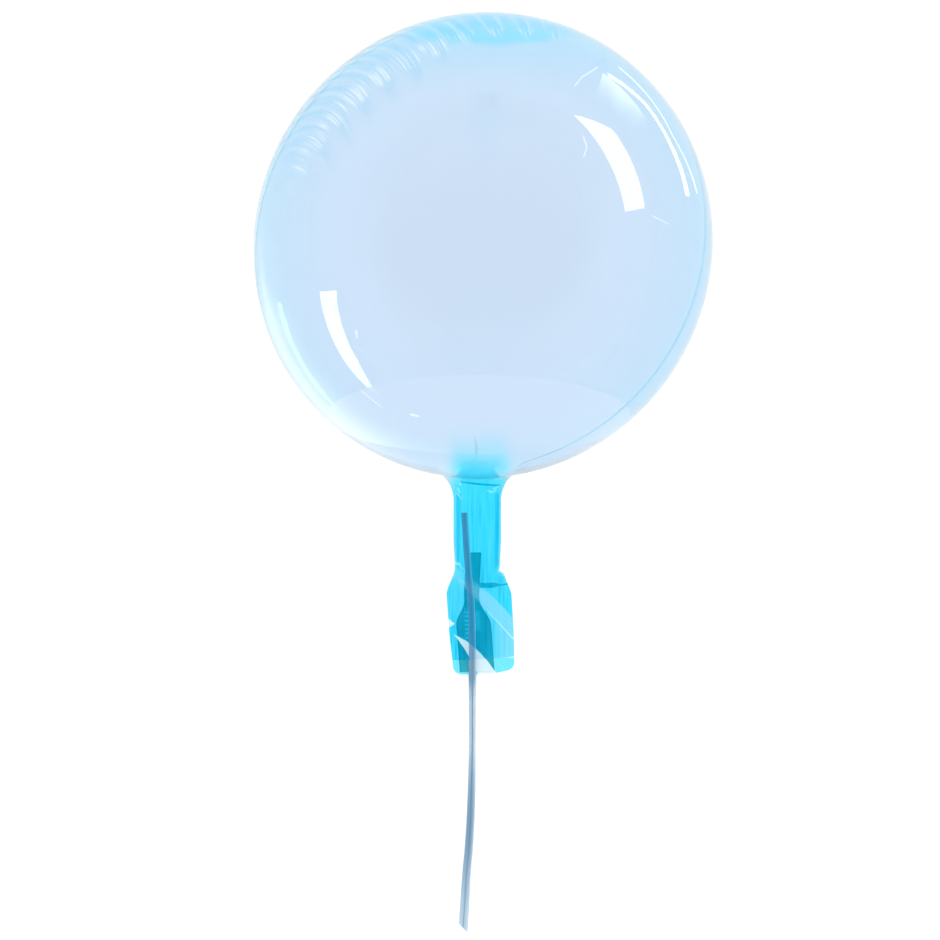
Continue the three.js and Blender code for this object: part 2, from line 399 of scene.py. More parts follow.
seam_steps = np.array([1.2, 3.6]) * MM / GLOBE_RADIUS
beside_seam = np.concatenate([-seam_steps, seam_steps])
ring_angle = np.sort(np.concatenate([round_angle, beside_seam % (2 * math.pi), math.pi + beside_seam]))
columns = len(ring_angle)
from_seam = np.arcsin(np.sin(ring_angle))


def pleat_course(seam_angle, away):
    """The angle along the seam that a pleat starts from: seam_angle * (1 + lean * away - bend * away^2). A
    pleat runs square to the seam at the crown, and curves over more and more down the flank."""
    return seam_angle * (1 + PLEAT_LEAN * away - PLEAT_BEND * away**2)


def pleat_strength(seam_angle, away):
    """How strong the pleats are: 1 along the seam over the crown and the left flank, fading out at their
    uneven ends."""
    reach = PLEAT_REACH * (0.62 + 0.38 * step(seam_angle, 0.0, 0.5))
    ends = reach * (0.86 + 0.20 * np.sin(41.0 * pleat_course(seam_angle, away) + 0.4))
    fade = 1 - step(np.abs(away), 0.45 * ends, ends)
    return fade * step(seam_angle, math.radians(-30), math.radians(-4)) * (1 - step(seam_angle, 0.85, 1.35))


def pleat_wave(course):
    """The pleats from -1 in the folds to 1 on the crests: two cosines whose spacing drifts."""
    phase = PLEAT_TURNS * course + PLEAT_DRIFT * np.sin(3.1 * course + 0.7)
    return (np.cos(phase) + 0.45 * np.cos(1.73 * phase + 1.1)) / 1.3


def bag_rings():
    """The blown part's outer surface in the bag frame, with the seam's coordinates of every point, as the
    grids (across, along, up, seam angle, angle away from the seam, pleat strength)."""
    twist = SEAM_YAW * (1 - step(blown_along, SEAM_TWIST_START, SEAM_TWIST_END))[:, None]
    angle = ring_angle[None, :] - twist
    seam_distance = np.abs(from_seam)[None, :] * blown_radius[:, None]
    along = np.broadcast_to(blown_along[:, None], angle.shape)
    sideways = np.cos(angle) * blown_radius[:, None]
    upwards = np.sin(angle) * blown_radius[:, None]
    direction = np.stack([sideways, along, upwards], axis=-1)
    direction = direction / np.linalg.norm(direction, axis=-1, keepdims=True)
    left = np.array([-math.cos(SEAM_YAW), 0, math.sin(SEAM_YAW)])
    square = np.array([math.sin(SEAM_YAW), 0, math.cos(SEAM_YAW)])
    seam_angle = np.arctan2(direction @ left, -direction[..., 1])
    away = np.arcsin(np.clip(direction @ square, -1, 1))
    strength = pleat_strength(seam_angle, away) * (1 - step(along, 0.10, 0.16))
    pleat = strength * pleat_wave(pleat_course(seam_angle, away))
    near_pole = np.sin(np.clip(3 * np.pi * blown_radius[:, None] / GLOBE_RADIUS, 0, np.pi / 2))
    raised = PLEAT_HEIGHT * pleat + BEAD_HEIGHT * bump(seam_distance, 0, BEAD_WIDTH)
    radius = blown_radius[:, None] + raised * near_pole
    across = spine(along) + radius * np.cos(angle)
    return across, along, radius * np.sin(angle), seam_angle, away, strength


def tab_rings():
    """The flat tab's outer surface in the same form: the rings go flat and end at the mouth."""
    side = np.cos(ring_angle)[None, :]
    rise = np.sin(ring_angle)[None, :]
    share = np.linspace(0, 1, TAB_ROWS)[:, None]
    along = NECK_END + share * (mouth_along(side, rise) - NECK_END)
    width = tab_half_width(along, side)
    inside = np.abs(side) * width / (width - WELD_WIDTH)
    flat = step(along, NECK_END, TAB_FLAT)
    round_up = (NECK_RADIUS - 1.2 * MM) * rise
    flat_up = np.clip(rise * 12, -1, 1) * sheet_lift(inside)
    up = round_up + (flat_up - round_up) * flat
    nothing = np.zeros_like(up)
    return spine(along) + width * side, along, up, nothing + math.pi, nothing, nothing


parts = [np.concatenate(pair, axis=0) for pair in zip(bag_rings(), tab_rings())]
across, along, up, seam_angle, away, strength = parts
outer = placed(across, along, up)
outer[..., 2] = np.maximum(outer[..., 2], 0)
inner = outer - FILM * grid_normals(outer)
inner[..., 2] = np.maximum(inner[..., 2], FILM * 0.9)
rows = len(outer)
print("bag grid", rows, "x", columns)

# %% Where the dye is deep
ROOT_SLANT = 0.22
ROOT_START = 184 * MM
ROOT_END = 250 * MM
ROOT_HALF_WIDTH = 19 * MM
CROWN_EDGE = 211 * MM
CROWN_DEPTH = 0.70


def dye_depth(across, along, up):
    """0 on the globe and 1 in the neck and tab. The dye deepens down a slanting front at the neck's root,
    along + 0.22 * up, most along the middle, and it is about half deep at the crown."""
    wobble = 2.0 * MM * np.sin(across / (9 * MM)) * np.sin(up / (13 * MM) + 1.0)
    front = along + ROOT_SLANT * up + wobble
    off_middle = step(np.abs(across + 3 * MM), ROOT_HALF_WIDTH, ROOT_HALF_WIDTH + 18 * MM)
    thinned = 0.85 * off_middle * (1 - step(along, 238 * MM, 256 * MM))
    root = step(front, ROOT_START, ROOT_END) * (1 - thinned)
    crown = CROWN_DEPTH * step(-along + 0.35 * wobble, CROWN_EDGE, CROWN_EDGE + 8 * MM)
    halo = 0.17 * step(-along, 170 * MM, 222 * MM)
    return np.maximum(root, np.maximum(crown, halo))


depth = dye_depth(across, along, up)
print("deepest dye", round(float(depth.max()), 2), "mean", round(float(depth.mean()), 2))

# %% [markdown]
# ## The film's finish and painted light
# Clear stretch film is smooth and glossy, so its look is nearly all transmission: each wall lets the floor
# through a little bluer, and deep cyan where the dye is deep. Reflections are painted onto the tab as pale
# and white slanting bands, shade is painted into its fold, along the neck's sides and into the pleats, and
# the weld is a slightly deeper line.

# %% Painted reflection bands on the tab
UPPER_MOUTH_PLACE = 0.4335
tab_reflection_tree, sheen_in, sheen_out = new_group(
    "painted tab reflections",
    [("Place", "NodeSocketVector")],
    [("Pale reflection", "NodeSocketFloat"), ("White reflection", "NodeSocketFloat"), ("Fold and crease shade", "NodeSocketFloat")],
)


def multiply_add(tree, value, factor, offset):
    """value * factor + offset as one Math node."""
    result = maths(tree, "MULTIPLY_ADD", value, factor)
    feed(tree, result.node.inputs[2], offset)
    return result


def curve(tree, across, level, slope, bend):
    """A parabola over across, level + across * (slope + across * bend), as Math nodes."""
    return multiply_add(tree, across, multiply_add(tree, across, bend, slope), level)


def between(tree, along, top, bottom, soft_top, soft_bottom):
    """1 where along lies below the top line and above the bottom line, with soft edges."""
    after = ramp(tree, maths(tree, "SUBTRACT", along, top), -soft_top, soft_top)
    before = ramp(tree, maths(tree, "SUBTRACT", bottom, along), -soft_bottom, soft_bottom)
    return product(tree, after, before)


def near_line(tree, along, line, half_width):
    """1 on the line, falling to 0 at half_width to either side."""
    distance = maths(tree, "ABSOLUTE", maths(tree, "SUBTRACT", along, line))
    return maths(tree, "SUBTRACT", 1.0, ramp(tree, distance, half_width * 0.3, half_width))


def build_tab_reflections(tree, source, target):
    """Painted reflections in bands that run down to the right over the tab: a broad pale one with fine lines
    in it, a white one that widens to the mouth, a hair line, and a white notch at the left edge. Painted
    shade darkens the fold where the tube goes flat, and a dark line is painted along the crease at the neck's
    root."""
    split = three_parts(tree, source.outputs["Place"])
    across = split["X"]
    sway = multiply_add(tree, noise(tree, source.outputs["Place"], 60), 0.0030, -0.0015)
    along = maths(tree, "ADD", split["Y"], sway)

    grain_place = tree.nodes.new("ShaderNodeCombineXYZ")
    tree.links.new(multiply_add(tree, across, -0.95, split["Y"]), grain_place.inputs["X"])
    lines = ramp(tree, noise(tree, grain_place.outputs["Vector"], 520), 0.38, 0.66)

    broad_top = curve(tree, across, 0.3580, 0.812, 8.0)
    broad_bottom = curve(tree, across, 0.3772, 1.11, 0)
    broad = between(tree, along, broad_top, broad_bottom, 0.0008, 0.0022)
    broad = product(tree, broad, multiply_add(tree, lines, 0.35, 0.65))
    narrow_top = curve(tree, across, 0.4306, 1.18, 14.4)
    narrow_bottom = curve(tree, across, 0.4651, 2.794, 29.95)
    narrow = between(tree, along, narrow_top, narrow_bottom, 0.0005, 0.0006)
    on_right = ramp(tree, across, -0.004, 0.012)
    bright_edge = product(tree, near_line(tree, along, broad_bottom, 0.0011), on_right)
    top_edge = product(tree, near_line(tree, along, broad_top, 0.0009), 0.45)
    hair = product(tree, near_line(tree, along, curve(tree, across, 0.4208, 1.18, 0), 0.0006), 0.5)
    hair = product(tree, hair, ramp(tree, across, -0.005, -0.002))
    below = between(tree, along, broad_bottom, UPPER_MOUTH_PLACE, 0.0015, 0.0004)
    below = product(tree, below, product(tree, ramp(tree, across, 0.000, 0.026), 0.75))
    off_left = product(tree, across, -1.0)
    corner = between(tree, along, 0.343, 0.392, 0.004, 0.014)
    corner_share = product(tree, ramp(tree, off_left, 0.012, 0.030), 0.18)
    corner = product(tree, corner, corner_share)
    notch_top = multiply_add(tree, across, 0.75, 0.4170)
    notch_bottom = multiply_add(tree, across, -0.75, 0.3745)
    notch = between(tree, along, notch_top, notch_bottom, 0.0005, 0.0005)
    notch = product(tree, notch, maths(tree, "LESS_THAN", across, -0.020))
    on_tab = ramp(tree, split["Y"], 0.3400, 0.3440)

    # Painted reflections: the pale bands and the white ones.
    pale = largest(tree, broad, hair)
    pale = largest(tree, pale, largest(tree, top_edge, below))
    pale = largest(tree, pale, corner)
    white = largest(tree, narrow, largest(tree, bright_edge, notch))
    tree.links.new(product(tree, pale, on_tab), target.inputs["Pale reflection"])
    tree.links.new(product(tree, white, on_tab), target.inputs["White reflection"])

    # Painted shade on the upper sheet: a dark fold where the tube goes flat and a dark line along the crease
    # at the neck's root.
    upper = maths(tree, "GREATER_THAN", split["Z"], 0.0)
    fold_half = multiply_add(tree, ramp(tree, across, 0.010, 0.019), -0.0030, 0.0038)
    fold_line = curve(tree, across, 0.3508, 0.07, 0)
    fold_top = maths(tree, "SUBTRACT", fold_line, fold_half)
    fold_bottom = maths(tree, "ADD", fold_line, fold_half)
    fold = between(tree, along, fold_top, fold_bottom, 0.0006, 0.0006)
    fold = product(tree, fold, ramp(tree, across, -0.004, -0.002))
    slanting = multiply_add(tree, split["Z"], ROOT_SLANT, split["Y"])
    crease = near_line(tree, slanting, curve(tree, across, 0.2449, 0.112, 0), 0.0017)
    sides = between(tree, across, -0.0225, 0.0175, 0.001, 0.001)
    crease = product(tree, crease, sides)
    dark = product(tree, largest(tree, fold, crease), upper)
    tree.links.new(dark, target.inputs["Fold and crease shade"])


build_tab_reflections(tab_reflection_tree, sheen_in, sheen_out)
print("group", tab_reflection_tree.name)

# %% Painted glints on the globe
GLOBE_GLINT_STROKES_MM = (
    ((86.9, -181.2), (94.0, -187.0), 1.0),
    ((94.0, -187.0), (109.3, -191.7), 1.0),
    ((93.5, -140.2), (97.2, -131.6), 1.1),
    ((97.2, -131.6), (94.2, -123.5), 1.1),
    ((160.0, -63.0), (176.0, -52.0), 0.7),
    ((-120.9, 40.5), (-120.0, 46.6), 1.7),
    ((-125.6, 79.8), (-119.5, 70.9), 1.1),
    ((-69.4, 124.7), (-62.7, 126.3), 2.0),
    ((-117.4, 104.3), (-97.3, 120.6), 0.8),
)
marks_tree, marks_in, marks_out = new_group(
    "painted glints on the globe", [("Place", "NodeSocketVector")], [("Mark", "NodeSocketFloat")]
)


def vector_maths(tree, operation, first, second=None):
    """One Vector Math node, and the output it gives its result on."""
    node = tree.nodes.new("ShaderNodeVectorMath")
    node.operation = operation
    feed(tree, node.inputs[0], first)
    if second is not None:
        feed(tree, node.inputs[1], second)
    return node.outputs["Value" if operation in ("DOT_PRODUCT", "LENGTH") else "Vector"]


def build_marks(tree, source, target, segments, lowest):
    """Short painted glints, drawn as hairline strokes on the side that looks up. Each is the distance to a
    segment
    from a to b: with h = clamp(pa.ba / ba.ba, 0, 1), the distance is |pa - h * ba|."""
    flat = vector_maths(tree, "MULTIPLY", source.outputs["Place"], (1, 1, 0))
    split = three_parts(tree, source.outputs["Place"])
    total = 0.0
    for start, end, half_width in segments:
        a = Vector((start[0] * MM, start[1] * MM, 0))
        run = Vector((end[0] * MM, end[1] * MM, 0)) - a
        from_a = vector_maths(tree, "SUBTRACT", flat, tuple(a))
        along_run = vector_maths(tree, "DOT_PRODUCT", from_a, tuple(run))
        share = maths(tree, "MULTIPLY", along_run, 1 / run.length_squared, clamp=True)
        nearest = tree.nodes.new("ShaderNodeVectorMath")
        nearest.operation = "SCALE"
        nearest.inputs[0].default_value = tuple(run)
        tree.links.new(share, nearest.inputs["Scale"])
        off_run = vector_maths(tree, "SUBTRACT", from_a, nearest.outputs["Vector"])
        distance = vector_maths(tree, "LENGTH", off_run)
        line = maths(tree, "SUBTRACT", 1.0, ramp(tree, distance, 0.25 * half_width * MM, half_width * MM))
        total = line if total == 0.0 else largest(tree, total, line)
    above = maths(tree, "GREATER_THAN", split["Z"], lowest)
    tree.links.new(product(tree, total, above), target.inputs["Mark"])


build_marks(marks_tree, marks_in, marks_out, GLOBE_GLINT_STROKES_MM, 30 * MM)
print("group", marks_tree.name, len(GLOBE_GLINT_STROKES_MM), "marks")

# %% Glints where the neck is pinched
GLINTS_MM = (
    ((-25.0, 246.0), (-23.5, 250.0), 1.9),
    ((-26.0, 252.0), (-22.0, 256.5), 1.4),
    ((-23.0, 237.0), (-22.5, 240.0), 1.6),
    ((5.0, 246.0), (9.0, 249.0), 1.6),
    ((9.0, 249.0), (13.0, 247.0), 1.6),
    ((11.0, 245.0), (16.0, 243.0), 1.3),
    ((-29.0, 329.5), (-24.0, 327.5), 2.4),
    ((-24.0, 327.5), (-20.5, 332.0), 1.6),
    ((17.0, 338.0), (22.5, 343.0), 1.5),
)
glints_tree, glints_in, glints_out = new_group(
    "neck glints", [("Place", "NodeSocketVector")], [("Mark", "NodeSocketFloat")]
)
build_marks(glints_tree, glints_in, glints_out, GLINTS_MM, 0.0)
print("group", glints_tree.name, len(GLINTS_MM), "glints")

# %% Pleat shading
pleat_tree, pleat_in, pleat_out = new_group(
    "pleat light",
    [("Seam place", "NodeSocketVector")],
    [("Light", "NodeSocketFloat"), ("Fold shade and deeper tint", "NodeSocketFloat")],
)


def build_pleat_light(tree, source, target):
    """A painted highlight on the pleats' crests and painted shade in their folds, with fine striations that
    run across the seam, painted glints near the pleats' ends, and a slightly deeper tint all over the pleated
    band.
    Seam place holds the pleat's course, the angle away from the seam and the pleats' strength. The wave is
    (cos(p) + 0.45 * cos(1.73 * p + 1.1)) / 1.3, with p the turns times the course plus the drift times
    sin(3.1 * course + 0.7)."""
    split = three_parts(tree, source.outputs["Seam place"])
    stretched = vector_maths(tree, "MULTIPLY", source.outputs["Seam place"], (90, 2.2, 0))
    striation = ramp(tree, noise(tree, stretched), 0.40, 0.66)
    course = split["X"]
    swing = maths(tree, "SINE", multiply_add(tree, course, 3.1, 0.7))
    drift = product(tree, swing, PLEAT_DRIFT)
    phase = multiply_add(tree, course, PLEAT_TURNS, drift)
    second = product(tree, maths(tree, "COSINE", multiply_add(tree, phase, 1.73, 1.1)), 0.45)
    both = maths(tree, "ADD", maths(tree, "COSINE", phase), second)
    wave = product(tree, both, maths(tree, "DIVIDE", split["Z"], 1.3))
    reach = ramp(tree, split["Z"], 0.02, 0.60)
    light = product(tree, ramp(tree, wave, 0.05, 0.75), multiply_add(tree, striation, 0.75, 0.25))
    ends = maths(tree, "ABSOLUTE", split["Y"])
    glint = between(tree, ends, 0.22, 0.36, 0.06, 0.03)
    glint = product(tree, glint, product(tree, striation, reach))
    light = largest(tree, product(tree, light, 0.45), glint)
    tree.links.new(light, target.inputs["Light"])
    # Painted shade in the folds, weaker towards the pleats' ends.
    deep = ramp(tree, product(tree, wave, -1.0), 0.02, 0.85)
    deep = product(tree, deep, multiply_add(tree, ramp(tree, ends, 0.12, 0.34), -0.7, 0.7))
    all_over = product(tree, reach, 0.35)
    tree.links.new(largest(tree, deep, all_over), target.inputs["Fold shade and deeper tint"])


build_pleat_light(pleat_tree, pleat_in, pleat_out)
print("group", pleat_tree.name)

# %% Envelope material
CLEAR_TINT = (0.758, 0.829, 0.916, 1)
DEEP_TINT = (0.185, 0.82, 0.985, 1)
PALE_REFLECTION_TINT = (0.50, 0.84, 0.97, 1)
WHITE_HIGHLIGHT_TINT = (0.84, 0.925, 0.97, 1)
DARK_TINT = (0.004, 0.50, 0.66, 1)
SEAM_TINT = (0.22, 0.74, 0.93, 1)
EDGE_TINT = (0.30, 0.80, 0.95, 1)
SIDE_TINT = (0.54, 0.90, 0.99, 1)
PLEAT_SHADE_AND_DEEPER_TINT = (0.62, 0.88, 0.97, 1)
PLEAT_HIGHLIGHT_TINT = (0.93, 0.96, 0.98, 1)
LIP_TINT = (0.17, 0.77, 0.93, 1)
TAIL_START = 170 * MM
NECK_SIDE_SHADE_TINT = (0.004, 0.62, 0.82, 1)
WELD_LINE = 3.6 * MM


def let_lamps_through(material, shader, output, tint):
    """Lamp light and light already scattered by the floor pass straight through the film, so it throws
    only the faint shadow that a clear balloon throws."""
    tree = material.node_tree
    path = tree.nodes.new("ShaderNodeLightPath")
    straight = tree.nodes.new("ShaderNodeBsdfTransparent")
    straight.inputs["Color"].default_value = tint
    mixed = tree.nodes.new("ShaderNodeMixShader")
    either = largest(tree, path.outputs["Is Shadow Ray"], path.outputs["Is Diffuse Ray"])
    tree.links.new(either, mixed.inputs["Fac"])
    tree.links.new(shader.outputs["BSDF"], mixed.inputs[1])
    tree.links.new(straight.outputs["BSDF"], mixed.inputs[2])
    tree.links.new(mixed.outputs["Shader"], output.inputs["Surface"])


def film_shader(name):
    """What the globe's and the tail's film share: clear glossy transmission, tinted by the dye's depth."""
    material, shader, output = new_material(name)
    depth = material.node_tree.nodes.new("ShaderNodeAttribute")
    depth.attribute_name = "dye_depth"
    shader.inputs["Metallic"].default_value = 0
    shader.inputs["Transmission Weight"].default_value = 1
    shader.inputs["IOR"].default_value = 1.49
    let_lamps_through(material, shader, output, (0.985, 0.993, 1.0, 1))
    return material, shader, blend_colour(material.node_tree, depth.outputs["Fac"], CLEAR_TINT, DEEP_TINT)


def weld_film():
    """The weld: two sheets melted into one, thicker, duller and deeper in colour than the film."""
    material, shader, output = new_material("weld")
    shader.inputs["Base Color"].default_value = SEAM_TINT
    shader.inputs["Metallic"].default_value = 0
    shader.inputs["Transmission Weight"].default_value = 0.92
    shader.inputs["Roughness"].default_value = 0.10
    let_lamps_through(material, shader, output, (0.85, 0.96, 1.0, 1))
    return material


def globe_film():
    """The globe's film: the shared film, deeper where it is seen along its surface, with painted highlights
    and painted shade on the pleats and a few painted glints."""
    material, shader, colour = film_shader("clear film")
    tree = material.node_tree
    facing = tree.nodes.new("ShaderNodeLayerWeight")
    facing.inputs["Blend"].default_value = 0.5
    side_on = maths(tree, "POWER", facing.outputs["Facing"], 1.6)
    colour = blend_colour(tree, side_on, colour, SIDE_TINT, "MULTIPLY")
    grazing = maths(tree, "POWER", facing.outputs["Facing"], 6.0)
    colour = blend_colour(tree, grazing, colour, EDGE_TINT, "MULTIPLY")
    pleat_light = placed_group(tree, pleat_tree, Seam_place=attribute(tree, "seam_place"))
    marks = placed_group(tree, marks_tree, Place=attribute(tree, "bag_place"))
    # Painted shade in the pleats' folds with a deeper tint over the band, then painted highlights and glints
    # on the pleats.
    colour = blend_colour(tree, pleat_light.outputs["Fold shade and deeper tint"], colour, PLEAT_SHADE_AND_DEEPER_TINT, "MULTIPLY")
    colour = blend_colour(tree, pleat_light.outputs["Light"], colour, PLEAT_HIGHLIGHT_TINT)
    # Painted glints: short white strokes mixed into the colour.
    colour = blend_colour(tree, marks.outputs["Mark"], colour, (1, 1, 1, 1))
    tree.links.new(colour, shader.inputs["Base Color"])
    shader.inputs["Roughness"].default_value = 0.008
    return material


def tail_film():
    """The film of the neck and the tab: the shared film, uneven in long streaks, with painted shade along
    both sides of the neck's top, painted reflections in bands over the tab, painted shade at the tab's fold
    and the crease at the neck's root, painted glints where the neck is pinched, and a little dull where it
    bunches at the neck's root. Its index is lowered so that it mirrors itself less."""
    material, shader, colour = film_shader("dyed film")
    tree = material.node_tree
    place = attribute(tree, "bag_place")
    split = three_parts(tree, place)
    along = split["Y"]
    sheen = placed_group(tree, tab_reflection_tree, Place=place)
    stretched = vector_maths(tree, "MULTIPLY", place, (380, 16, 60))
    streaks = noise(tree, stretched)
    in_neck = ramp(tree, along, 0.240, 0.256)
    uneven = product(tree, ramp(tree, streaks, 0.42, 0.80), 0.22)
    colour = blend_colour(tree, product(tree, uneven, in_neck), colour, CLEAR_TINT)
    shade = product(tree, ramp(tree, streaks, 0.50, 0.25), 0.35)
    colour = blend_colour(tree, product(tree, shade, in_neck), colour, DARK_TINT)
    # Painted shade: darker bands along both sides of the neck's upper wall.
    left_edge = near_line(tree, split["X"], -0.0252, 0.0026)
    right_edge = near_line(tree, split["X"], 0.0145, 0.0032)
    edges = largest(tree, left_edge, right_edge)
    beside = between(tree, along, 0.251, 0.331, 0.004, 0.003)
    upper = maths(tree, "GREATER_THAN", split["Z"], 0.0)
    edges = product(tree, edges, product(tree, beside, upper))
    edges = product(tree, edges, multiply_add(tree, streaks, 1.6, 0.05))
    colour = blend_colour(tree, edges, colour, NECK_SIDE_SHADE_TINT)
    lip = ramp(tree, along, UPPER_MOUTH_PLACE, UPPER_MOUTH_PLACE + 0.001)
    colour = blend_colour(tree, lip, colour, LIP_TINT)
    # Painted shade at the fold and the crease, painted reflections in pale and white bands, and painted
    # glints at the neck.
    colour = blend_colour(tree, sheen.outputs["Fold and crease shade"], colour, DARK_TINT)
    colour = blend_colour(tree, sheen.outputs["Pale reflection"], colour, PALE_REFLECTION_TINT)
    glints = placed_group(tree, glints_tree, Place=place)
    whites = largest(tree, sheen.outputs["White reflection"], glints.outputs["Mark"])
    colour = blend_colour(tree, whites, colour, WHITE_HIGHLIGHT_TINT)
    tree.links.new(colour, shader.inputs["Base Color"])
    shader.inputs["IOR"].default_value = 1.10
    bunched = between(tree, along, 0.200, 0.258, 0.020, 0.010)
    tree.links.new(multiply_add(tree, bunched, 0.15, 0.008), shader.inputs["Roughness"])
    return material


# %% The envelope as one mesh
wall_faces = [
    grid_faces(rows, columns),
    grid_faces(rows, columns, first=rows * columns, inward=True),
]
last = (rows - 1) * columns + np.arange(columns)
beside = (rows - 1) * columns + (np.arange(columns) + 1) % columns
wall_faces.append(np.stack([last, beside, beside + rows * columns, last + rows * columns], axis=-1))
poles = np.stack([outer[0].mean(axis=0), inner[0].mean(axis=0)])
first_pole = 2 * rows * columns
ring = np.arange(columns)
next_ring = (ring + 1) % columns
wall_faces.append(fan(first_pole, ring, next_ring))
wall_faces.append(fan(first_pole + 1, next_ring + rows * columns, ring + rows * columns))
envelope_points = np.concatenate([outer.reshape(-1, 3), inner.reshape(-1, 3), poles])
envelope = make_piece("envelope_film", envelope_points, wall_faces, globe_film())
envelope.data.materials.append(tail_film())
envelope.data.materials.append(weld_film())
grid_row = np.repeat(np.arange(rows - 1), columns)
face_row = np.concatenate([grid_row, grid_row, np.full(columns, rows - 1), np.zeros(2 * columns, int)])
in_tail = (along[:, 0][face_row] >= TAIL_START).astype(np.int32)
near_weld = np.abs(from_seam) * GLOBE_RADIUS <= WELD_LINE + 1e-6
weld_column = near_weld & np.roll(near_weld, -1)
on_weld = np.concatenate([np.tile(weld_column, 2 * (rows - 1)), np.zeros(3 * columns, bool)])
on_globe_or_neck = along[:, 0][face_row] < NECK_END
film_index = np.where(on_weld & on_globe_or_neck, 2, in_tail).astype(np.int32)
envelope.data.polygons.foreach_set("material_index", film_index)


def add_attribute(piece, name, values, kind):
    """Stores one number or vector per point under a name that a material can read."""
    field = piece.data.attributes.new(name, kind, "POINT")
    slot = "vector" if kind == "FLOAT_VECTOR" else "value"
    field.data.foreach_set(slot, np.ascontiguousarray(values).ravel())


bag_place = np.stack([across, along, up], axis=-1).reshape(-1, 3)
pole_place = np.array([[0, -GLOBE_HALF_LENGTH, 0]] * 2)
add_attribute(envelope, "bag_place", np.concatenate([bag_place, bag_place, pole_place]), "FLOAT_VECTOR")
seam_place = np.stack([pleat_course(seam_angle, away), away, strength], axis=-1).reshape(-1, 3)
seam_place = np.concatenate([seam_place, seam_place, np.zeros((2, 3))])
add_attribute(envelope, "seam_place", seam_place, "FLOAT_VECTOR")
dye = np.concatenate([depth.ravel(), depth.ravel(), np.full(2, CROWN_DEPTH)])
add_attribute(envelope, "dye_depth", dye, "FLOAT")
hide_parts("envelope")
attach(envelope, "root")

# %% [markdown]
# ## The fill valve
# A flat self-sealing valve lies between the tab's sheets: a narrow channel that reaches up into the neck,
# sloping shoulders and a wider body that ends just inside the mouth. It is two films welded at their edges.

# %% Valve outline
VALVE_TOP = 320 * MM
VALVE_BEND = 366 * MM
VALVE_BOTTOM = 449 * MM
VALVE_NECK_HALF = 7.8 * MM
VALVE_BODY_HALF = 17.9 * MM
SHOULDER_START = 371 * MM
SHOULDER_END = 398 * MM
VALVE_LIFT = -0.7 * MM
VALVE_HALF = 0.3 * MM
VALVE_PLACES = ((VALVE_TOP, -9.2 * MM), (VALVE_BEND, -11.3 * MM), (VALVE_BOTTOM, -5.5 * MM))
VALVE_ROWS = 150
VALVE_COLUMNS = 40

valve_along = np.linspace(VALVE_TOP, VALVE_BOTTOM, VALVE_ROWS)
valve_middle = np.interp(valve_along, *zip(*VALVE_PLACES))
shoulder = step(valve_along, SHOULDER_START, SHOULDER_END)
valve_half = VALVE_NECK_HALF + (VALVE_BODY_HALF - VALVE_NECK_HALF) * shoulder
valve_ring = np.linspace(0, 2 * math.pi, 2 * VALVE_COLUMNS, endpoint=False)
valve_side = np.cos(valve_ring)[None, :]
valve_rise = np.sign(np.sin(valve_ring)) * np.abs(np.sin(valve_ring)) ** 0.5
end_share = np.sqrt(1 - (2 * np.linspace(0, 1, VALVE_ROWS) - 1) ** 16)[:, None]
valve_across = valve_middle[:, None] + valve_half[:, None] * valve_side
valve_wave = 0.15 * MM * np.sin(valve_along / (9 * MM))[:, None] * valve_side
valve_up = VALVE_LIFT + valve_wave + VALVE_HALF * valve_rise[None, :] * (0.15 + 0.85 * end_share)
valve_grid = placed(valve_across, np.broadcast_to(valve_along[:, None], valve_across.shape), valve_up)
print("valve", VALVE_ROWS, "x", 2 * VALVE_COLUMNS)


# %% Valve material
VALVE_TINT = (0.02, 0.52, 0.57, 1)
VALVE_WELD_TINT = (0.01, 0.44, 0.49, 1)
VALVE_DASH_TINT = (0.55, 0.85, 0.90, 1)
VALVE_REFLECTION_TINT = (0.93, 0.97, 0.99, 1)
VALVE_DASHES = (
    (-0.0070, 0.0021, 0.3800, 0.4140, 0.0046),
    (0.0045, 0.0026, 0.3830, 0.4040, 0.0021),
)


def valve_film():
    """Teal film, darker along the weld lines at its edges, with two columns of short pale dashes, and the
    tab's painted reflections lying over it."""
    material, shader, output = new_material("valve film")
    tree = material.node_tree
    split = three_parts(tree, attribute(tree, "valve_place"))
    offset, along, to_edge = split
    weld = maths(tree, "SUBTRACT", 1.0, ramp(tree, to_edge, 0.0008, 0.0030))
    colour = blend_colour(tree, weld, VALVE_TINT, VALVE_WELD_TINT)
    for middle, half, first, last, pitch in VALVE_DASHES:
        column = between(tree, offset, middle - half, middle + half, 0.0002, 0.0002)
        rows_here = between(tree, along, first, last, 0.0002, 0.0002)
        beat = maths(tree, "FRACT", product(tree, along, 1 / pitch))
        dash = between(tree, beat, 0.2, 0.72, 0.06, 0.06)
        here = product(tree, column, rows_here)
        mark = product(tree, here, product(tree, dash, 0.55))
        colour = blend_colour(tree, mark, colour, VALVE_DASH_TINT)
    # Painted reflections: the tab's pale and white bands are drawn over the valve as well.
    sheen = placed_group(tree, tab_reflection_tree, Place=attribute(tree, "bag_place"))
    pale = product(tree, sheen.outputs["Pale reflection"], 0.45)
    colour = blend_colour(tree, pale, colour, VALVE_REFLECTION_TINT)
    colour = blend_colour(tree, sheen.outputs["White reflection"], colour, VALVE_REFLECTION_TINT)
    tree.links.new(colour, shader.inputs["Base Color"])
    shader.inputs["Metallic"].default_value = 0
    shader.inputs["Transmission Weight"].default_value = 1
    shader.inputs["IOR"].default_value = 1.45
    shader.inputs["Roughness"].default_value = 0.08
    let_lamps_through(material, shader, output, (0.9, 0.97, 0.98, 1))
    return material


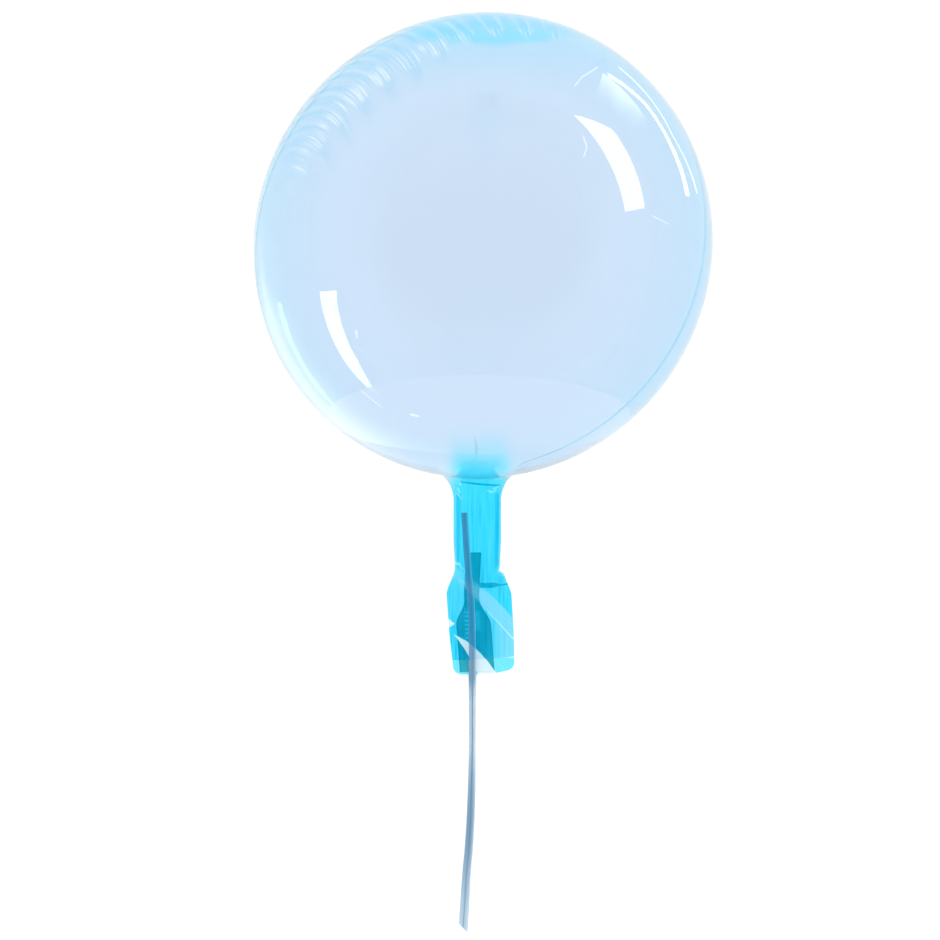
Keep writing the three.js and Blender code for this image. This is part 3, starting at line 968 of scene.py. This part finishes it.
valve_faces = [grid_faces(VALVE_ROWS, 2 * VALVE_COLUMNS)]
valve_ends = np.stack([valve_grid[0].mean(axis=0), valve_grid[-1].mean(axis=0)])
count = VALVE_ROWS * 2 * VALVE_COLUMNS
ring = np.arange(2 * VALVE_COLUMNS)
next_ring = (ring + 1) % (2 * VALVE_COLUMNS)
last_ring = count - len(ring)
valve_faces.append(fan(count, ring, next_ring))
valve_faces.append(fan(count + 1, next_ring + last_ring, ring + last_ring))
valve_points = np.concatenate([valve_grid.reshape(-1, 3), valve_ends])
valve = make_piece("fill_valve_film", valve_points, valve_faces, valve_film())
to_edge = (valve_half[:, None] * (1 - np.abs(valve_side))).ravel()
valve_place = np.stack([
    (valve_half[:, None] * valve_side).ravel(),
    np.broadcast_to(valve_along[:, None], valve_across.shape).ravel(),
    to_edge,
], axis=-1)
add_attribute(valve, "valve_place", np.concatenate([valve_place, np.zeros((2, 3))]), "FLOAT_VECTOR")
valve_in_bag = np.stack(np.broadcast_arrays(valve_across, valve_along[:, None], valve_up), axis=-1)
valve_in_bag = valve_in_bag.reshape(-1, 3)
add_attribute(valve, "bag_place", np.concatenate([valve_in_bag, np.zeros((2, 3))]), "FLOAT_VECTOR")
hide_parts("fill_valve")
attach(valve, "root")

# %% [markdown]
# ## The ribbon
# A narrow ribbon of pale blue film is folded along its middle. It starts in the neck, lies on the valve,
# comes out at the mouth and drops to the floor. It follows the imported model's route point by point, and
# its cut end slants.

# %% Ribbon route
RIBBON_ROUTE = (
    (-0.0158, -0.2379, 0.0897),
    (-0.0145, -0.2562, 0.0792),
    (-0.0132, -0.2744, 0.0688),
    (-0.0117, -0.2926, 0.0583),
    (-0.0099, -0.3108, 0.0479),
    (-0.0085, -0.3290, 0.0374),
    (-0.0079, -0.3472, 0.0270),
    (-0.0077, -0.3655, 0.0165),
    (-0.0077, -0.3811, 0.0076),
    (-0.0077, -0.3874, 0.0039),
    (-0.0077, -0.3914, 0.0021),
    (-0.0077, -0.3959, 0.0009),
    (-0.0077, -0.4003, 0.0005),
    (-0.0077, -0.4205, 0.0005),
    (-0.0077, -0.4569, 0.0005),
    (-0.0082, -0.4932, 0.0005),
    (-0.0092, -0.5292, 0.0005),
    (-0.0112, -0.5651, 0.0005),
    (-0.0138, -0.5958, 0.0005),
    (-0.0155, -0.6243, 0.0005),
    (-0.0173, -0.6516, 0.0005),
)
RIBBON_SHOWN_MM = (
    (0, 7.0),
    (60, 6.8),
    (150, 7.2),
    (178, 7.6),
    (205, 6.4),
    (245, 6.2),
    (300, 7.6),
    (360, 8.2),
    (415, 8.9),
    (438, 9.1),
)
RIBBON_WIDTH = 9.2 * MM
RIBBON_FILM = 0.12 * MM
RIBBON_ROWS = 320
RIBBON_COLUMNS = 16
MOUTH_DISTANCE = 175 * MM


def spline_through(knots, count):
    """Points along a Catmull-Rom curve: on each stretch between two knots,
    0.5 * (2b + (c - a)t + (2a - 5b + 4c - d)t^2 + (3b - a - 3c + d)t^3)."""
    knots = np.array(knots)
    padded = np.concatenate([[2 * knots[0] - knots[1]], knots, [2 * knots[-1] - knots[-2]]])
    lengths = np.linalg.norm(np.diff(knots, axis=0), axis=1)
    reached = np.concatenate([[0], np.cumsum(lengths)])
    wanted = np.linspace(0, reached[-1], count)
    index = np.clip(np.searchsorted(reached, wanted, side="right") - 1, 0, len(knots) - 2)
    t = ((wanted - reached[index]) / lengths[index])[:, None]
    a, b, c, d = (padded[index + k] for k in range(4))
    points = 0.5 * (2 * b + (c - a) * t + (2 * a - 5 * b + 4 * c - d) * t**2 + (3 * b - a - 3 * c + d) * t**3)
    return points, wanted


ribbon_line, ribbon_distance = spline_through(RIBBON_ROUTE, RIBBON_ROWS)
tangent = np.gradient(ribbon_line, axis=0)
tangent /= np.linalg.norm(tangent, axis=1, keepdims=True)
sideways = np.array(ACROSS)[None, :] - tangent * tangent[:, :1]
sideways /= np.linalg.norm(sideways, axis=1, keepdims=True)
upwards = np.cross(sideways, tangent)
upwards *= np.sign(upwards[:, 2:3])
print("ribbon route", round(float(ribbon_distance[-1]), 4), "m")

# %% Ribbon mesh
outside = step(ribbon_distance, MOUTH_DISTANCE - 8 * MM, MOUTH_DISTANCE + 20 * MM)
shown_width = MM * np.interp(ribbon_distance / MM, *zip(*RIBBON_SHOWN_MM))
fold_rise = 0.5 * np.sqrt(np.maximum(RIBBON_WIDTH**2 - shown_width**2, 0))
fold_rise = np.minimum(fold_rise, 0.7 * MM + 2.6 * MM * outside)
share = np.linspace(-1, 1, RIBBON_COLUMNS + 1)[None, :]
crest = 1 - np.sqrt(share**2 + 0.004) + np.sqrt(0.004)
base = -0.28 * MM * outside - 0.1 * MM
lift = base[:, None] + fold_rise[:, None] * crest
from_end = ribbon_distance[-1] - ribbon_distance[:, None]
cut = (-2.35 * MM + 4.25 * MM * share) * np.clip(1 - from_end / (14 * MM), 0, 1) ** 2
middle_surface = (
    ribbon_line[:, None, :]
    + 0.5 * shown_width[:, None, None] * share[..., None] * sideways[:, None, :]
    + lift[..., None] * upwards[:, None, :]
    + cut[..., None] * tangent[:, None, :]
)
surface_up = grid_normals(middle_surface, wrap=False)
surface_up *= np.sign(np.sum(surface_up * upwards[:, None, :], axis=-1, keepdims=True))
ribbon_top = middle_surface + 0.5 * RIBBON_FILM * surface_up
ribbon_low = middle_surface - 0.5 * RIBBON_FILM * surface_up
ribbon_grid = np.concatenate([ribbon_top, ribbon_low[:, ::-1]], axis=1)
ribbon_share = np.concatenate([share, share[:, ::-1]], axis=1)
ring_size = ribbon_grid.shape[1]
print("ribbon", RIBBON_ROWS, "x", ring_size, "lowest", round(float(ribbon_grid[..., 2].min()) / MM, 2), "mm")


# %% Ribbon material
def ribbon_film():
    """Pale blue film that pales towards the cut end, with painted shade darkening the crease along its
    middle, more so towards the cut end, and a painted highlight along one edge."""
    material, shader, _ = new_material("ribbon film")
    tree = material.node_tree
    split = three_parts(tree, attribute(tree, "ribbon_place"))
    side = maths(tree, "ABSOLUTE", split["X"])
    towards_end = ramp(tree, split["Y"], 0.33, 0.437)
    body = blend_colour(tree, towards_end, (0.20, 0.38, 0.55, 1), (0.56, 0.74, 0.88, 1))
    crease_shade_tint = blend_colour(tree, towards_end, (0.15, 0.32, 0.48, 1), (0.30, 0.48, 0.62, 1))
    # Painted shade darkens the crease, and a painted highlight pales one edge.
    crease = maths(tree, "SUBTRACT", 1.0, ramp(tree, side, 0.02, 0.30))
    colour = blend_colour(tree, crease, body, crease_shade_tint)
    edge_highlight = ramp(tree, split["X"], 0.45, 0.85)
    colour = blend_colour(tree, product(tree, edge_highlight, 0.5), colour, (0.66, 0.80, 0.95, 1))
    tree.links.new(colour, shader.inputs["Base Color"])
    shader.inputs["Metallic"].default_value = 0
    shader.inputs["Roughness"].default_value = 0.35
    shader.inputs["Transmission Weight"].default_value = 0.35
    shader.inputs["IOR"].default_value = 1.45
    return material


ribbon_faces = [grid_faces(RIBBON_ROWS, ring_size)]
half = ring_size // 2
for start, turned in ((0, False), ((RIBBON_ROWS - 1) * ring_size, True)):
    near = start + np.arange(half - 1)
    far = start + ring_size - 1 - np.arange(half - 1)
    cap = np.stack([near, near + 1, far - 1, far], axis=-1)
    ribbon_faces.append(cap if turned else cap[:, ::-1])
ribbon = make_piece("ribbon_film", ribbon_grid.reshape(-1, 3), ribbon_faces, ribbon_film())
ribbon_place = np.stack([
    np.broadcast_to(ribbon_share, ribbon_grid.shape[:2]).ravel(),
    np.broadcast_to(ribbon_distance[:, None], ribbon_grid.shape[:2]).ravel(),
    np.zeros(RIBBON_ROWS * ring_size),
], axis=-1)
add_attribute(ribbon, "ribbon_place", ribbon_place, "FLOAT_VECTOR")
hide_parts("ribbon")
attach(ribbon, "root")

# %% [markdown]
# ## Floor and light
# The floor and the air near the horizon are white, and the ceiling is darker, as in a studio. The film
# mirrors whatever it faces, so its middle stays deep in colour and its rim catches the bright floor. A tall
# softbox gives the window-like reflection, and narrow strips and two white cards draw the lines at the rim.
# The cards' edges are worked out from the camera and the globe, by the law of the mirror.


# %% Floor, world and lamps
CEILING = 0.70
HORIZON = 1.12
SUN = 1.32
FLOOR_GLOW = 1.15
CARD_STRENGTH = 2.1
CARD_TURNS = (165, 180, 200, 220, 235, 250, 262)
CARD_GLOW = (0.0, 0.30, 0.85, 1.0, 1.0, 0.7, 0.3)
CARD_BRIGHT = 0.9485
CARD_FAR = 0.815
CARD_CLOSE = 0.991
CARD_HEIGHT = 1.0 * MM


def plain_floor():
    """A large matt white sheet just under the balloon."""
    material, shader, _ = new_material("floor")
    shader.inputs["Base Color"].default_value = (0.93, 0.93, 0.93, 1)
    shader.inputs["Roughness"].default_value = 1
    shader.inputs["Specular IOR Level"].default_value = 0
    corners = np.array([[-4, -4, 0], [4, -4, 0], [4, 4, 0], [-4, 4, 0]], float) - [0, 0, 0.0002]
    return make_piece("floor", corners, [np.array([[0, 1, 2, 3]])], material, smooth=False)


def softbox(name, near_edge, far_edge, strength, near_glow=None, from_inside=False):
    """A glowing panel between two edges of points, which only mirrors see. With near_glow, a value for each
    near point, it is a soft one: it fades from there to the floor's own brightness at its far edge."""
    material = bpy.data.materials.new(name)
    material.use_nodes = True
    tree = material.node_tree
    tree.nodes.clear()
    emission = tree.nodes.new("ShaderNodeEmission")
    output = tree.nodes.new("ShaderNodeOutputMaterial")
    glow = tree.nodes.new("ShaderNodeAttribute")
    glow.attribute_name = "glow"
    brightness = multiply_add(tree, ramp(tree, glow.outputs["Fac"], 0, 1), strength - FLOOR_GLOW, FLOOR_GLOW)
    tree.links.new(brightness, emission.inputs["Strength"])
    tree.links.new(emission.outputs["Emission"], output.inputs["Surface"])
    points = np.array(list(near_edge) + list(far_edge), float)
    count = len(near_edge)
    first = np.arange(count - 1)
    faces = np.stack([first, first + 1, first + count + 1, first + count], axis=-1)
    panel = make_piece(name, points, [faces], material, smooth=False)
    glowing = np.ones(2 * count) if near_glow is None else np.concatenate([near_glow, np.zeros(count)])
    add_attribute(panel, "glow", glowing, "FLOAT")
    panel.visible_camera = False
    panel.visible_glossy = not from_inside
    panel.visible_transmission = from_inside
    panel.visible_diffuse = False
    panel.visible_shadow = False
    return panel


def mirrored_floor(turn, share, height):
    """The place on the floor that the globe mirrors towards the camera, at a turn round its outline in
    degrees and a share of the way out to it. The normal is n = sqrt(1 - share^2) * v + share * (cos(turn) *
    right + sin(turn) * up), with v towards the camera. The view's direction d leaves as
    r = d - 2 * (d . n) * n, which is followed down to the floor."""
    towards = (camera.location - CENTRE).normalized()
    round_it = math.cos(math.radians(turn)) * ACROSS + math.sin(math.radians(turn)) * towards.cross(ACROSS)
    normal = math.sqrt(1 - share**2) * towards + share * round_it
    frame_normal = np.array([normal.dot(ACROSS), normal.dot(ALONG), normal.dot(UP)])
    half_axes = np.array([GLOBE_RADIUS, GLOBE_HALF_LENGTH, GLOBE_RADIUS])
    on_globe = half_axes**2 * frame_normal / np.linalg.norm(half_axes * frame_normal)
    touched = Vector(placed(*on_globe))
    view = (touched - camera.location).normalized()
    leaving = view - 2 * view.dot(normal) * normal
    place = touched + leaving * (touched.z - height) / -leaving.z
    return tuple(place)


def card_edge(share, height):
    """One edge of a card on the floor: where the globe mirrors it, at every turn of CARD_TURNS."""
    return [mirrored_floor(turn, share, height) for turn in CARD_TURNS]


def studio_world():
    """White near the horizon and darker overhead, by the height of the direction looked in."""
    world = bpy.data.worlds.new("studio")
    bpy.context.scene.world = world
    world.use_nodes = True
    tree = world.node_tree
    background = tree.nodes["Background"]
    direction = tree.nodes.new("ShaderNodeTexCoord")
    split = three_parts(tree, direction.outputs["Generated"])
    overhead = ramp(tree, split["Z"], 0.30, 0.72)
    background.inputs["Color"].default_value = (1, 1, 1, 1)
    tree.links.new(multiply_add(tree, overhead, CEILING - HORIZON, HORIZON), background.inputs["Strength"])


def overhead_sun():
    """A very wide sun straight above, which lights the floor evenly and shows in no mirror."""
    data = bpy.data.lights.new("sun", "SUN")
    data.energy = SUN
    data.angle = math.radians(70)
    sun = bpy.data.objects.new("sun", data)
    sun.visible_glossy = False
    sun.visible_transmission = False
    bpy.context.scene.collection.objects.link(sun)
    return sun


studio_world()
stage_pieces = [
    plain_floor(),
    overhead_sun(),
    softbox(
        "window softbox",
        [(0.811, 1.018, 0.939), (1.102, 0.883, 0.635)],
        [(1.365, 0.124, 0.807), (1.427, 0.224, 0.508)],
        9.0,
    ),
    softbox(
        "window seen in the far wall",
        [(0.723, 1.150, 0.059), (0.949, 0.968, 0.020), (1.286, 0.391, 0.020)],
        [(0.723, 1.150, 0.060), (0.974, 0.941, 0.222), (1.294, 0.338, 0.302)],
        12.0,
        from_inside=True,
    ),
    softbox(
        "flag against the window's second image",
        [(0.232, 0.385, 0.190), (0.479, 0.070, 0.190)],
        [(0.232, 0.385, 0.420), (0.479, 0.070, 0.420)],
        FLOOR_GLOW,
        from_inside=True,
    ),
    softbox(
        "rim strip",
        [(0.545, 0.835, 0.070), (0.568, 0.578, 0.030), (0.630, 0.417, 0.030), (0.628, 0.210, 0.030)],
        [(0.590, 0.860, 0.100), (0.610, 0.600, 0.050), (0.680, 0.430, 0.050), (0.720, 0.235, 0.030)],
        7.0,
    ),
    softbox(
        "outer rim strip",
        [(0.344, 0.533, 0.030), (0.428, 0.446, 0.030), (0.515, 0.362, 0.030), (0.463, 0.175, 0.030)],
        [(0.366, 0.555, 0.030), (0.450, 0.462, 0.030), (0.537, 0.376, 0.030), (0.488, 0.182, 0.030)],
        3.5,
    ),
    softbox(
        "soft panel over the rim strip",
        [(0.560, 0.880, 0.110), (0.650, 0.800, 0.100), (0.740, 0.720, 0.090), (0.830, 0.640, 0.080)],
        [(0.660, 0.820, 0.520), (0.740, 0.753, 0.490), (0.820, 0.687, 0.460), (0.900, 0.620, 0.430)],
        4.2,
        near_glow=(0.8, 1.0, 0.6, 0.0),
    ),
    softbox(
        "soft card on the floor",
        card_edge(CARD_BRIGHT, CARD_HEIGHT),
        card_edge(CARD_FAR, CARD_HEIGHT),
        CARD_STRENGTH,
        near_glow=CARD_GLOW,
    ),
    softbox(
        "soft card close under the globe",
        card_edge(CARD_BRIGHT, CARD_HEIGHT),
        card_edge(CARD_CLOSE, CARD_HEIGHT),
        CARD_STRENGTH,
        near_glow=CARD_GLOW,
    ),
]
bpy.context.scene.view_settings.view_transform = "Standard"
bpy.context.scene.cycles.transparent_max_bounces = 32
bpy.context.scene.cycles.max_bounces = 13
bpy.context.scene.cycles.transmission_bounces = 13
print("stage", [piece.name for piece in stage_pieces])
